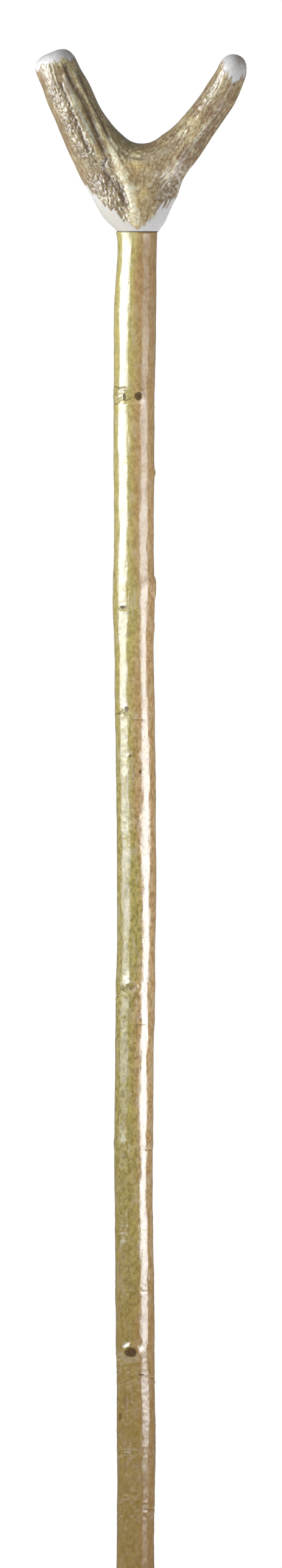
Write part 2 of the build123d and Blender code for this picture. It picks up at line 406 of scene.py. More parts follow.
def rounded_crotch(points):
    """The points with the floor of the gap between the arms made an even curve."""
    across = CROTCH_X + np.arange(-CROTCH_REACH, CROTCH_REACH + 1)
    off_middle = np.abs(across - CROTCH_X)
    in_reach = points[:, 2] < CROTCH_Z + CROTCH_REACH
    near_gap = points[in_reach]
    floor_z = [near_gap[np.abs(near_gap[:, 0] - x) < 0.7, 2].max() for x in across]
    wanted = CROTCH_Z + (across - CROTCH_X) ** 2 / (2 * CROTCH_RADIUS)
    lift = np.interp(points[:, 0], across, (wanted - floor_z) * smoothstep(13, 7, off_middle))
    lift *= smoothstep(CROTCH_Z - 12, CROTCH_Z - 1, points[:, 2]) * in_reach
    return points + lift[:, None] * (0, 0, 1)


def antler_mesh():
    """The CAD fork as an even fine mesh, with the crease round its neck smoothed away."""
    source = frame["nodes"]["antler_fork"]
    rough = bpy.data.objects.new("antler_rough", source.data.copy())
    bpy.context.scene.collection.objects.link(rough)
    remesh = rough.modifiers.new("even", "REMESH")
    remesh.mode = "VOXEL"
    remesh.voxel_size = ANTLER_VOXEL * MM
    graph = bpy.context.evaluated_depsgraph_get()
    mesh = bpy.data.meshes.new_from_object(rough.evaluated_get(graph))
    bpy.data.objects.remove(rough)
    points = coordinates(mesh)
    free = smoothstep(1.0, 4.0, points[:, 2])
    points = relaxed(points, mesh, 40, 0.5 * free)
    set_coordinates(mesh, rounded_crotch(points))
    return mesh


def limb_place(points, spine):
    """Places measured along an arm: across it, through it and along it from the seat."""
    line = smooth_line([(x, 0, z) for x, z in spine], 60)
    length = np.linalg.norm(np.diff(line, axis=0), axis=1).sum()
    flat = points * (1, 0, 1)
    _, share, foot = nearest_on_line(flat, line)
    span = np.diff(line, axis=0)
    direction = span[np.minimum((share * (len(line) - 1)).astype(int), len(span) - 1)]
    side = flat - foot
    across = side[:, 0] * direction[:, 2] - side[:, 2] * direction[:, 0]
    across /= np.linalg.norm(direction, axis=1)
    return np.stack([across, points[:, 1], share * length], axis=1)


def between_spines(heights):
    """The X halfway between the middles of the two arms, at each height."""
    middles = [np.interp(heights, [z for _, z in spine], [x for x, _ in spine])
               for spine in (THICK_SPINE, THIN_SPINE)]
    return (middles[0] + middles[1]) / 2


def past_edge(place, spine, edge):
    """How far each place along an arm lies beyond an edge drawn round that arm."""
    corners = limb_place(np.array([(x, 0, z) for x, z in edge], float), spine)
    order = np.argsort(corners[:, 0])
    return place[:, 2] - np.interp(place[:, 0], corners[order, 0], corners[order, 2])


def on_surface(tree, side, line):
    """A line in X and Z laid on the front or the back of the antler."""
    laid = []
    for x, _, z in smooth_line([(x, 0, z) for x, z in line], 50):
        start = Vector((x, 60.0 * side, z)) * MM + Vector(SEAT)
        hit = tree.ray_cast(start, Vector((0, -side, 0)))[0]
        if hit is not None:
            laid.append((np.array(hit) - SEAT) / MM)
    return np.array(laid)


def line_mask(points, line, start_width, end_width):
    """1 on a line and 0 away from it, fading at both ends."""
    distance, share, _ = nearest_on_line(points, line)
    width = start_width + (end_width - start_width) * share
    ends = smoothstep(0.0, 0.06, share) * smoothstep(1.0, 0.9, share)
    return bell(distance, width) * ends


def base_ivory(points):
    """Where the base was ground and polished down to the ivory, before its edge is made ragged:
    millimetres below the edge."""
    heights = np.arange(0.0, 46.0, 2.0)
    low, high = [], []
    for z in heights:
        near = points[np.abs(points[:, 2] - z) < 1.5]
        low.append(near[:, 0].min())
        high.append(near[:, 0].max())
    left = np.interp(points[:, 2], heights, low)
    right = np.interp(points[:, 2], heights, high)
    across = np.clip(2 * (points[:, 0] - left) / (right - left) - 1, -1, 1)
    front = np.interp(across, BASE_ACROSS, BASE_IVORY_FRONT)
    back = np.interp(across, BASE_ACROSS, BASE_IVORY_BACK)
    return front + (back - front) * smoothstep(-3, 3, points[:, 1]) - points[:, 2]


class ForkPlaces:
    """Where each vertex of the fork lies: from the seat, along each arm and along the fibres."""

    def __init__(self, points):
        self.points = points
        self.up = points[:, 2]
        self.thick = limb_place(points, THICK_SPINE)
        self.thin = limb_place(points, THIN_SPINE)
        self.to_thin = smoothstep(-6, 6, points[:, 0] - between_spines(self.up))
        self.to_thick = 1 - self.to_thin
        # the fibres of both arms meet in a V below the crotch, so each arm counts outward from it
        outward_thick = self.thick * (-1, 1, 1)
        grain = outward_thick + (self.thin - outward_thick) * self.to_thin[:, None]
        grain[:, 2] += 0.5 * points[:, 0]
        self.wander = noise(points / 9.0, 11)[:, None] * (1.2, 1.2, 0)
        self.grain = grain + self.wander


def ivory_share(at):
    """1 on the ground base and on the cut and polished end of each arm, and 0 on the skin."""
    teeth = noise(at.grain * (0.62, 0.62, 0.07), 21, 2)
    fringe = noise(at.grain * (1.5, 1.5, 0.2), 22)
    base = base_ivory(at.points) + 4.0 * teeth + 1.6 * fringe
    thick_end = past_edge(at.thick, THICK_SPINE, THICK_TIP_EDGE) + 2.4 * teeth + 1.6 * fringe
    thin_end = past_edge(at.thin, THIN_SPINE, THIN_TIP_EDGE) + 3.0 * teeth + 1.8 * fringe
    tips = np.where(at.to_thin > 0.5, thin_end, thick_end)
    return np.maximum(smoothstep(-0.5, 0.6, base), smoothstep(-0.6, 0.9, tips))


def carved_lines(at, tree):
    """The relief of the long ridges and grooves, and where each kind of line shows."""
    relief = np.zeros(len(at.points))
    masks = {"ridge": 0.0, "groove": 0.0}
    uneven = 0.75 + 0.25 * noise(at.grain * (0.5, 0.5, 0.09), 31)
    for side, height, start_width, end_width, line in RELIEF_LINES:
        laid = on_surface(tree, side, line)
        strength = line_mask(at.points + 0.5 * at.wander, laid, start_width, end_width) * uneven
        relief += height * strength
        kind = "ridge" if height > 0 else "groove"
        masks[kind] = np.maximum(masks[kind], strength * min(1.0, abs(height) / DEEP_LINE))
        if line is CREAM_RIDGE:
            pale = line_mask(at.points + 1.3 * at.wander, laid, 1.5 * start_width, 1.35 * end_width)
            pale = pale + 0.5 * noise(at.grain * (0.8, 0.8, 0.3), 32, 2) - 0.12
            masks["cream"] = np.clip(pale, 0, 1) * (0.3 + 0.7 * smoothstep(66, 42, at.up))
            relief += 0.25 * strength * noise(at.points / (2.6, 2.6, 4.5), 33)
        # where the ridge's painted reflection lies
        if line is RIDGE_WITH_PAINTED_REFLECTION:
            masks["painted_reflection"] = strength
    return relief, masks


def rough_share(at):
    """How rough the skin is: most on the thick arm's outer side and round the crown, and less on
    the thin arm's outer side."""
    across, _, along = at.thick.T
    outer_thick = smoothstep(1.5, -3.0, across) * at.to_thick
    crown = smoothstep(10, 16, along) * smoothstep(54, 42, along) * smoothstep(8, 2, across)
    outer_thin = 0.55 * smoothstep(1.5, 5.5, at.thin[:, 0]) * at.to_thin * smoothstep(104, 80, at.thin[:, 2])
    rough = np.clip(np.maximum(np.maximum(outer_thick, crown * at.to_thick), outer_thin), 0, 1)
    rough *= 0.55 + 0.45 * smoothstep(-0.5, 0.4, noise(at.points / 7.0, 51))
    rough *= 0.3 + 0.7 * smoothstep(96, 84, at.up)
    return rough


def pearl_beads(at, warp):
    """Crowded beads of antler, the small ones among them, and the gaps between them."""
    nearest, second, own = cells(at.grain * (0.5, 0.5, 0.3) + 0.4 * warp, 65)
    cobbles = smoothstep(0.0, 0.3, second - nearest)
    beads = cobbles * (0.3 + 0.7 * smoothstep(0.75, 0.1, nearest)) * (0.3 + 0.7 * own)
    gaps = smoothstep(0.26, 0.04, second - nearest) * (0.3 + 0.7 * own)
    nearest, _, own = cells(at.grain * (0.8, 0.8, 0.5) + 0.2 * warp, 71)
    small_beads = smoothstep(0.6, 0.08, nearest) * smoothstep(0.35, 0.8, own)
    return beads, small_beads, gaps


def tangle_share(at):
    """1 in the middle of the face, where the fibres of the two arms tangle and draw no lines."""
    off_middle = np.abs(at.points[:, 0] - between_spines(at.up) - 3)
    return smoothstep(13, 4, off_middle) * smoothstep(66, 54, at.up)


def colour_places(at, rough, gaps):
    """Where the colours lie that don't follow the relief, each from 0 to 1."""
    across_thick = at.thick[:, 0]
    across_thin = at.thin[:, 0]
    thick_rim = smoothstep(-7.0, -12.5, across_thick) * at.to_thick * smoothstep(24, 34, at.up)
    rim = np.maximum(smoothstep(0.0, 8.5, across_thin) * at.to_thin, 0.8 * thick_rim)
    # the rough outer side low on the thin arm is rubbed through to pale pink
    rubbed = smoothstep(2.5, 5.5, across_thin) * smoothstep(17, 24, at.up) * smoothstep(44, 36, at.up)
    rubbed *= at.to_thin * smoothstep(-0.5, 0.9, noise(at.points / 1.7, 81, 2))
    return {
        "rim": rim,
        "rubbed": rubbed,
        "gap": rough * (gaps * (1 - 0.8 * rim)),
        # olive skin above the crotch: its own colour, made lighter to lift the shade in the hollow between
        # the arms, so partly painted light
        "olive": smoothstep(46, 54, at.up) * (1 - rough),
        "stain": smoothstep(96, 107, at.up) * smoothstep(-2.5, 4.0, across_thin) * at.to_thin,
        "thin_arm": at.to_thin * smoothstep(30, 60, at.thin[:, 2]),
        # painted shade: the ivory low on the base's left side, where the left light falls strongest, is
        # darkened
        "painted_shade_on_base": smoothstep(32, 8, at.up) * smoothstep(3, -9, at.points[:, 0]),
    }


def sculpt_antler(mesh):
    """Carves ridges, grooves, fibres and pearls into the fork, and stores where each colour is."""
    at = ForkPlaces(coordinates(mesh))
    outward = normals(mesh)
    tree = BVHTree.FromPolygons([v.co for v in mesh.vertices], [p.vertices for p in mesh.polygons])
    ivory = ivory_share(at)
    skin = 1.0 - ivory
    lines, masks = carved_lines(at, tree)

    rough = rough_share(at)
    warp = [noise(at.points / size, seed) for size, seed in ((2.2, 62), (2.2, 63), (3.0, 64))]
    warp = np.stack(warp, axis=1)
    beads, small_beads, gaps = pearl_beads(at, warp)
    pearls = rough * (PEARL_RELIEF * beads + SMALL_PEARL_RELIEF * small_beads - PEARL_BED)

    tangled = tangle_share(at)
    fibres = noise(at.grain * (0.75, 0.75, 0.055), 41, 2)
    threads = noise(at.grain * (1.5, 1.5, 0.13), 42)
    lumps = noise(at.points / 11.0, 43)
    grit = noise(at.points / (1.5, 1.5, 1.9), 44, 2)
    fine = (1 - 0.8 * tangled) * (FIBRE_RELIEF * fibres + THREAD_RELIEF * threads)
    fine = fine + (GRIT_RELIEF + TANGLED_GRIT_RELIEF * tangled) * grit + RUFFLE_RELIEF * warp[:, 0]

    # the outline stays as clean as the CAD's, so the fine relief fades where it would break it
    edge_on = smoothstep(0.55, 0.95, np.hypot(outward[:, 0], outward[:, 2]))
    height = skin * (lines + (1 - 0.85 * edge_on) * (fine + pearls)) + LUMP_RELIEF * lumps
    height += IVORY_FIBRES * ivory * fibres - IVORY_SUNK * ivory
    shoulder = smoothstep(-5, -11, at.thick[:, 0]) * at.to_thick * bell(at.up - SHOULDER_Z, 5)
    height += SHOULDER_RELIEF * shoulder
    height *= smoothstep(0.0, SEAT_BLEND, at.up)
    in_hole = (np.hypot(at.points[:, 0], at.points[:, 1]) < STUD_HOLE_REACH) & (at.up < STUD_HOLE_TOP)
    height[in_hole] = 0.0
    set_coordinates(mesh, at.points + outward * height[:, None])

    masks.update(colour_places(at, rough, gaps))
    masks["grain"] = at.grain
    masks["skin"] = skin
    masks["rough"] = rough
    masks["pearl"] = rough * np.clip(beads + 0.5 * small_beads, 0, 1)
    masks["face"] = tangled * smoothstep(50, 38, at.up)
    # how high the relief stands, for colour: the skin is made darker where it is sunk
    masks["relief_level"] = smoothstep(-0.1, 0.9, height + 0.15)
    for name, values in masks.items():
        store(mesh, name, values)


def antler_material():
    """Waxed antler: olive-brown skin with dark grooves and pale ridges over polished ivory."""
    s = Shader("antler")
    grain = s.read("grain", "Vector")
    streak = s.noise(s.scaled(grain, (0.9, 0.9, 0.12)), 4.0, 0.62)
    patch = s.noise(s.place((0.13, 0.13, 0.1)), 3.0)
    speck = s.noise(s.place((0.6, 0.6, 0.5)), 4.0, 0.68)
    crumb = s.noise(s.place((0.85, 0.85, 0.7)), 4.0, 0.62)
    vein = s.noise(s.scaled(grain, (0.62, 0.62, 0.16)), 5.0, 0.72)
    veined = s.range(s.read("thin_arm"), 0.0, 1.0, 0.45, 0.9)
    orange = s.times(s.read("thin_arm"), s.range(patch, 0.35, 0.6))
    off_rim = s.range(s.read("rim"), 0.0, 0.6, 0.35, 0.0)
    cream = s.mix(s.range(speck, 0.42, 0.6), srgb(226, 220, 193), srgb(194, 174, 132))
    brown = s.layers(s.mix(s.range(streak, 0.34, 0.66), srgb(151, 131, 85), srgb(189, 176, 129)), [
        (s.range(patch, 0.42, 0.66, 0.0, 0.65), srgb(168, 162, 122)),
        # olive skin, partly painted light lifting the shade in the crotch
        (s.times(s.read("olive"), 0.75), srgb(194, 186, 138)),
        (s.range(speck, 0.5, 0.6, 0.0, 0.75), srgb(158, 108, 52)),
        (s.range(speck, 0.48, 0.38, 0.0, 0.6), srgb(220, 213, 170)),
        (s.times(s.read("face"), s.range(patch, 0.3, 0.6, 0.4, 0.75)), srgb(218, 187, 122)),
        (s.times(orange, 0.35), srgb(187, 141, 76)),
        (s.times(s.read("rim"), s.range(streak, 0.35, 0.6, 0.15, 0.8)), srgb(111, 85, 65)),
        (s.times(s.read("rough"), 0.7), srgb(113, 98, 65)),
        # darker where the relief is sunk
        (s.range(s.read("relief_level"), 0.0, 0.5, 0.6, 0.0), srgb(105, 83, 50)),
        (s.range(s.read("ridge"), 0.45, 1.0, 0.0, 0.35), srgb(187, 178, 138)),
        # painted reflection: bluish grey on the smooth ridge
        (s.range(s.read("painted_reflection"), 0.35, 0.85, 0.0, 0.9), srgb(138, 148, 152)),
        (s.range(s.read("pearl"), 0.35, 0.95, 0.0, 0.45), srgb(172, 164, 127)),
        (s.range(s.read("gap"), 0.2, 0.8, 0.0, 0.85), srgb(76, 52, 27)),
        (s.range(s.read("groove"), 0.15, 0.65, 0.0, 0.82), srgb(78, 56, 37)),
        (s.range(crumb, 0.52, 0.66, 0.0, 0.6), srgb(108, 78, 42)),
        (s.times(veined, s.range(vein, 0.5, 0.6, 0.0, 0.85)), srgb(124, 80, 46)),
        (s.times(veined, s.range(vein, 0.48, 0.38, 0.0, 0.6)), srgb(212, 194, 154)),
        (s.times(off_rim, s.range(crumb, 0.46, 0.34)), srgb(208, 200, 166)),
        (s.range(s.read("cream"), 0.15, 0.7, 0.0, 0.95), cream),
        (s.range(s.read("rubbed"), 0.0, 1.0, 0.0, 0.6), srgb(212, 201, 187)),
    ])
    ivory = s.layers(s.mix(s.range(speck, 0.35, 0.7), srgb(204, 200, 198), srgb(194, 188, 184)), [
        (s.range(streak, 0.55, 0.8, 0.0, 0.25), srgb(180, 167, 150)),
        # painted shade on the base's lower left
        (s.times(s.read("painted_shade_on_base"), 0.85), srgb(180, 173, 159)),
        (s.times(s.read("stain"), s.range(speck, 0.3, 0.62, 0.15, 0.8)), srgb(160, 136, 120)),
    ])
    s.set(Base_Color=s.mix(s.read("skin"), ivory, brown))
    s.set(Roughness=s.range(s.read("rim"), 0.0, 1.0, 0.38, 0.7))
    waxed = s.times(s.range(s.read("rim"), 0.0, 1.0, 0.85, 0.1), s.range(s.read("skin"), 0.0, 1.0, 0.2, 1.0))
    waxed = s.times(waxed, s.range(s.times(s.read("rough"), speck), 0.3, 0.62, 1.0, 0.7))
    s.set(Coat_Weight=waxed, Coat_Roughness=0.07, Coat_IOR=1.9)
    s.set(Subsurface_Weight=0.05, Subsurface_Scale=0.002)
    pores = s.noise(s.scaled(grain, (2.6, 2.6, 0.5)), 4.0, 0.6)
    uneven = s.math("ADD", pores, s.times(crumb, 0.7))
    s.set(Normal=s.bump(uneven, 0.2), Coat_Normal=s.bump(uneven, 0.08))
    return s.material


# ---------------------------------------------------------------- hazel shank

AROUND = 100  # vertices round the shank
TURNS = np.linspace(0, 2 * pi, AROUND, endpoint=False)
WIDE_STEP = 1.75  # millimetres between rings on plain bark
FINE_STEP = 0.7  # and beside a scar
AXIS_ROWS = 240  # heights at which the CAD shank's middle and radius are measured
AXIS_RAYS = 16  # rays towards its middle at each
RAY_START = 30 * MM  # how far from the middle they start
GLUE_THICKNESS = 0.3  # between the tenon and the ferrule
END_BLEND = 3.0  # the bark's relief fades out over this much of its lower end
TOP_BLEND = 2.5  # and of its upper one
DEEP_CREASE = 0.35  # a wrinkle this deep has its full colour
TENON_BEVEL = 0.4  # the height of the bevel round the tenon's foot
BEVELLED = 0.96  # the share of the tenon's radius left under it
CAP_SHARE = 0.02  # the small ring that closes an end, as a share of that end's radius

# Scars, each by its depth below the seat in millimetres and its bearing round the shank in
# degrees, 0 facing the viewer and 90 towards the thin arm. Then its half width and half height,
# how far it stands proud, how dark its eye is (0 to 1), how pale its rim is, and how far a crease
# runs round the shank from it, in degrees to its left and to its right.
SCARS = [
    (99.5, 11.5, 2.5, 3.0, 0.55, 1.0, 0.1, 80, 12),
    (96.0, -34, 4.6, 1.5, 0.4, 0.42, 0.0, 50, 30),
    (100.0, -27, 1.4, 2.4, 0.35, 0.9, 0.0, 60, 10),
    (99.5, -52, 2.4, 2.2, 0.4, 0.3, 0.5, 40, 10),
    (146, 86, 1.1, 1.3, 0.8, 0.95, 0.0, 8, 8),
    (215, 84, 4.2, 4.6, 0.9, 0.1, 0.3, 10, 10),
    (227, -33, 2.6, 1.3, 0.3, 0.9, 0.1, 20, 4),
    (207, -80, 2.0, 1.2, 0.3, 0.4, 0.2, 16, 10),
    (239, 88, 1.7, 2.0, 0.5, 0.4, 0.2, 8, 8),
    (288.5, -24, 2.1, 2.1, 0.5, 0.6, 0.4, 60, 8),
    (317, -17, 1.2, 0.9, 0.2, 0.9, 0.0, 5, 5),
    (326.5, 12, 1.5, 1.4, 0.5, 0.6, 0.5, 14, 14),
    (369, 165, 3.6, 3.6, 0.7, 0.6, 0.4, 30, 30),
    (456, -16, 3.1, 2.3, 0.75, 0.35, 0.7, 55, 14),
    (549, -150, 3.2, 3.4, 0.7, 0.7, 0.4, 30, 26),
    (677, -13.5, 4.4, 3.6, 0.85, 0.8, 0.35, 24, 18),
    (690.5, 17, 2.2, 0.7, 0.15, 0.9, 0.0, 3, 3),
    (706, -36, 2.2, 4.2, 0.12, 0.4, 0.0, 3, 3),
    (716, -56, 2.6, 3.4, 0.12, 0.5, 0.0, 3, 3),
    (769, 140, 3.2, 3.4, 0.7, 0.7, 0.3, 26, 30),
    (859, -40, 3.0, 3.2, 0.7, 0.75, 0.3, 22, 26),
    (944, 100, 3.2, 3.4, 0.7, 0.6, 0.4, 30, 22),
    (1029, -70, 3.0, 3.2, 0.7, 0.8, 0.2, 26, 24),
    (1093, 35, 2.8, 2.8, 0.6, 0.7, 0.3, 20, 26),
]

# Wrinkles round the shank where a leaf once grew: depth, bearing, reach in degrees each way, and
# how deep the wrinkle is.
CREASES = [
    (37.5, -88, 34, 0.35),
    (104, -70, 44, 0.3),
    (94.2, -52, 50, 0.45),
    (98.5, -76, 30, 0.5),
    (207, -84, 30, 0.3),
    (291, -70, 40, 0.35),
    (295, 10, 24, 0.25),
    (359.5, 60, 34, 0.2),
    (462, -78, 34, 0.5),
    (479, 20, 30, 0.2),
    (555, 60, 50, 0.25),
    (604, -50, 40, 0.12),
    (640, 30, 40, 0.2),
    (693, 74, 36, 0.35),
    (737, -30, 70, 0.14),
    (772, 60, 50, 0.25),
]


def shank_axis():
    """Heights up the bark, with the shank's centre and radius there, read off the CAD piece."""
    mesh = frame["nodes"]["hazel_shank"].data
    tree = BVHTree.FromPolygons([v.co for v in mesh.vertices], [p.vertices for p in mesh.polygons])
    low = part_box("ferrule_cup")[1][2]
    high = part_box("hazel_shank")[1][2]
    rows = []
    for z in np.linspace(low + 0.2 * MM, high - 0.2 * MM, AXIS_ROWS):
        centre = np.array([0.0, 0.0])
        for _ in range(3):
            hits = []
            for turn in np.linspace(0, 2 * pi, AXIS_RAYS, endpoint=False):
                ray = Vector((cos(turn), sin(turn), 0))
                start = Vector((*centre, z)) + ray * RAY_START
                hits.append(tree.ray_cast(start, -ray)[0])
            ring = np.array([(hit.x, hit.y) for hit in hits])
            # halfway between the median and the mean, so that a knot pulls it only a little
            centre = (np.median(ring, axis=0) + ring.mean(axis=0)) / 2
        radius = np.median(np.linalg.norm(ring - centre, axis=1))
        rows.append((z, centre[0], centre[1], radius))
    return np.array(rows).T


def ring_heights(low, high):
    """Heights of the bark's rings, from low to high, closer together beside a scar."""
    marks = SEAT[2] / MM - np.array([mark[0] for mark in [*SCARS, *CREASES]])
    heights = [low]
    while heights[-1] < high - WIDE_STEP:
        plain = float(smoothstep(4.0, 12.0, np.abs(marks - heights[-1]).min()))
        heights.append(heights[-1] + FINE_STEP + (WIDE_STEP - FINE_STEP) * plain)
    return np.array([*heights, high])


def turned_from(bearing, centre):
    """Degrees from one bearing to another, from -180 to 180."""
    return (bearing - centre + 180.0) % 360.0 - 180.0


def add_scars(relief, masks, points, depth, bearing, radius):
    """Adds the scars to the relief and to the masks of their dark eyes, pale rings and wrinkles,
    and returns how much the whole shank swells beside them."""
    swell = np.zeros(len(points))
    ragged = noise(points / 1.6, 122, 2), noise(points / 1.6, 123, 2)
    for below, at, half_width, half_height, proud, dark, light, left, right in SCARS:
        turn = turned_from(bearing, at)
        across = radians(1) * turn * radius
        up = below - depth
        reach = np.hypot(across / half_width + 0.12 * ragged[0], up / half_height + 0.12 * ragged[1])
        pit = bell(reach, 0.55)
        ring = bell(reach - 1.0, 0.24)
        ripple = np.cos(5.2 * reach) * bell(reach - 1.6, 0.7)
        relief += proud * bell(reach, 1.25) - 0.55 * proud * pit + 0.22 * proud * ring + 0.12 * proud * ripple
        masks["eye"] = np.maximum(masks["eye"], dark * smoothstep(1.05, 0.6, reach))
        masks["pale"] = np.maximum(masks["pale"], light * ring)
        masks["pale"] = np.maximum(masks["pale"], light * (1 - dark) * pit)
        along = np.where(turn < 0, -turn / left, turn / right)
        fade = smoothstep(1.0, 0.35, along)
        sag = up + 0.9 * half_height * smoothstep(0.0, 0.5, along) + 0.5 * noise(points / 4.0, 121)
        for offset, depth_share in ((0.0, 1.0), (1.7, 0.7), (-1.6, 0.5)):
            line = bell(sag + offset, 0.55) * fade * smoothstep(0.6, 1.2, reach)
            relief -= 0.22 * proud * depth_share * line
            masks["crease"] = np.maximum(masks["crease"], 0.8 * depth_share * line)
        swell += 0.35 * proud * bell(up, 7.0) * bell(turn, 75.0)
    return swell


def add_creases(relief, masks, points, depth, bearing):
    """Adds the wrinkles that stand alone, each a fold with a low lip under it."""
    for below, at, reach_round, deep in CREASES:
        fade = smoothstep(1.0, 0.3, np.abs(turned_from(bearing, at)) / reach_round)
        up = below - depth + 0.7 * noise(points / 5.0, 131)
        line = bell(up, 0.6) * fade
        lip = bell(up + 1.5, 1.1) * fade
        relief += deep * (0.5 * lip - 0.8 * line)
        masks["crease"] = np.maximum(masks["crease"], line * min(1.0, deep / DEEP_CREASE))


def bark_relief(points, depth, bearing, radius):
    """How far each point of the bark stands proud, and where its scars and colours are."""
    relief = 0.22 * noise(points / (7.0, 7.0, 26.0), 101, 2) + 0.12 * noise(points / (5.0, 5.0, 8.0), 104)
    relief += 0.07 * noise(points / (1.7, 1.7, 9.0), 102, 2)
    rougher = smoothstep(450, 760, depth)
    relief += (0.05 + 0.07 * rougher) * noise(points / (1.6, 1.6, 1.3), 103)

    # lenticels: small raised lens-shaped pores, wider than they are tall
    nearest, _, own = cells(points / (3.4, 3.4, 5.2) + (0, 0, 0.3), 111)
    lenticels = smoothstep(0.34, 0.1, nearest) * (own > 0.62) * (0.35 + 0.65 * rougher)
    relief += 0.12 * lenticels

    # painted light: the side the left light falls on is coloured olive-yellow, the other side tan
    lit_side = np.sin(np.radians(bearing)) + 0.35 * noise(points / (9.0, 9.0, 40.0), 141)
    masks = {name: np.zeros(len(points)) for name in ("eye", "pale", "crease")}
    masks["lenticel"] = lenticels
    masks["lit_side"] = smoothstep(0.4, -0.15, lit_side)
    swell = add_scars(relief, masks, points, depth, bearing, radius)
    add_creases(relief, masks, points, depth, bearing)
    return relief + swell, masks


def plain_ring(centre, radius, height):
    """A level ring of vertices in step with the bark's."""
    ring = np.column_stack([np.sin(TURNS), -np.cos(TURNS)]) * radius + centre
    return np.column_stack([ring, np.full(AROUND, height)])


def joined_rings(rows):
    """The faces between each ring of vertices and the next, and a cap on the first and the last."""
    faces = []
    for row in range(rows - 1):
        low, high = row * AROUND, (row + 1) * AROUND
        for i in range(AROUND):
            j = (i + 1) % AROUND
            faces.append((low + i, low + j, high + j, high + i))
    faces.append(tuple(range(AROUND))[::-1])
    faces.append(tuple(range((rows - 1) * AROUND, rows * AROUND)))
    return faces


def shank_mesh():
    """The whole shank as rings of vertices: the tenon, the bark and the stud's hole. The bark's
    relief is worked out round a straight axis and then moved on to the bowed one."""
    z_known, x_known, y_known, r_known = shank_axis() / MM
    heights = ring_heights(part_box("ferrule_cup")[1][2] / MM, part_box("hazel_shank")[1][2] / MM)
    z = np.repeat(heights, AROUND)
    turn = np.tile(TURNS, len(heights))
    radius = np.interp(z, z_known, r_known)
    # bearing 0 faces -Y and 90 faces +X
    direction = np.stack([np.sin(turn), -np.cos(turn)], axis=1)
    bark = np.column_stack([direction * radius[:, None], z])
    relief, masks = bark_relief(bark, SEAT[2] / MM - z, np.degrees(turn), radius)
    ends = smoothstep(0.0, END_BLEND, z - heights[0]) * smoothstep(0.0, TOP_BLEND, heights[-1] - z)
    bark[:, :2] += direction * (relief * ends)[:, None]
    bark[:, 0] += np.interp(z, z_known, x_known)
    bark[:, 1] += np.interp(z, z_known, y_known)

    # the tenon below the bark, and the stud's hole down from the top, as plain rings
    tenon_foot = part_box("hazel_shank")[0][2] / MM
    tenon_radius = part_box("ferrule_glue")[1][0] / MM - GLUE_THICKNESS
    hole_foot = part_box("stud_epoxy_in_shank")[0][2] / MM
    hole_low, hole_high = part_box("stud_epoxy_in_shank")
    hole_radius = (hole_high[0] - hole_low[0]) / 2 / MM
    seat = SEAT[:2] / MM
    below = [
        plain_ring((0, 0), tenon_radius * CAP_SHARE, tenon_foot),
        plain_ring((0, 0), tenon_radius * BEVELLED, tenon_foot),
        plain_ring((0, 0), tenon_radius, tenon_foot + TENON_BEVEL),
        plain_ring((0, 0), tenon_radius, heights[0]),
    ]
    above = [
        plain_ring(seat, hole_radius, heights[-1]),
        plain_ring(seat, hole_radius, hole_foot),
        plain_ring(seat, hole_radius * CAP_SHARE, hole_foot),
    ]
    points = np.vstack([*below, bark, *above])
    mesh = bpy.data.meshes.new("hazel_bark")
    mesh.from_pydata((points * MM).tolist(), [], joined_rings(len(points) // AROUND))
    before, after = len(below) * AROUND, len(above) * AROUND
    for name, values in masks.items():
        store(mesh, name, np.pad(values, (before, after)))
    store(mesh, "bare_wood", np.pad(np.zeros(len(bark)), (before, after), constant_values=1.0))
    store(mesh, "depth", SEAT[2] / MM - points[:, 2])
    return mesh


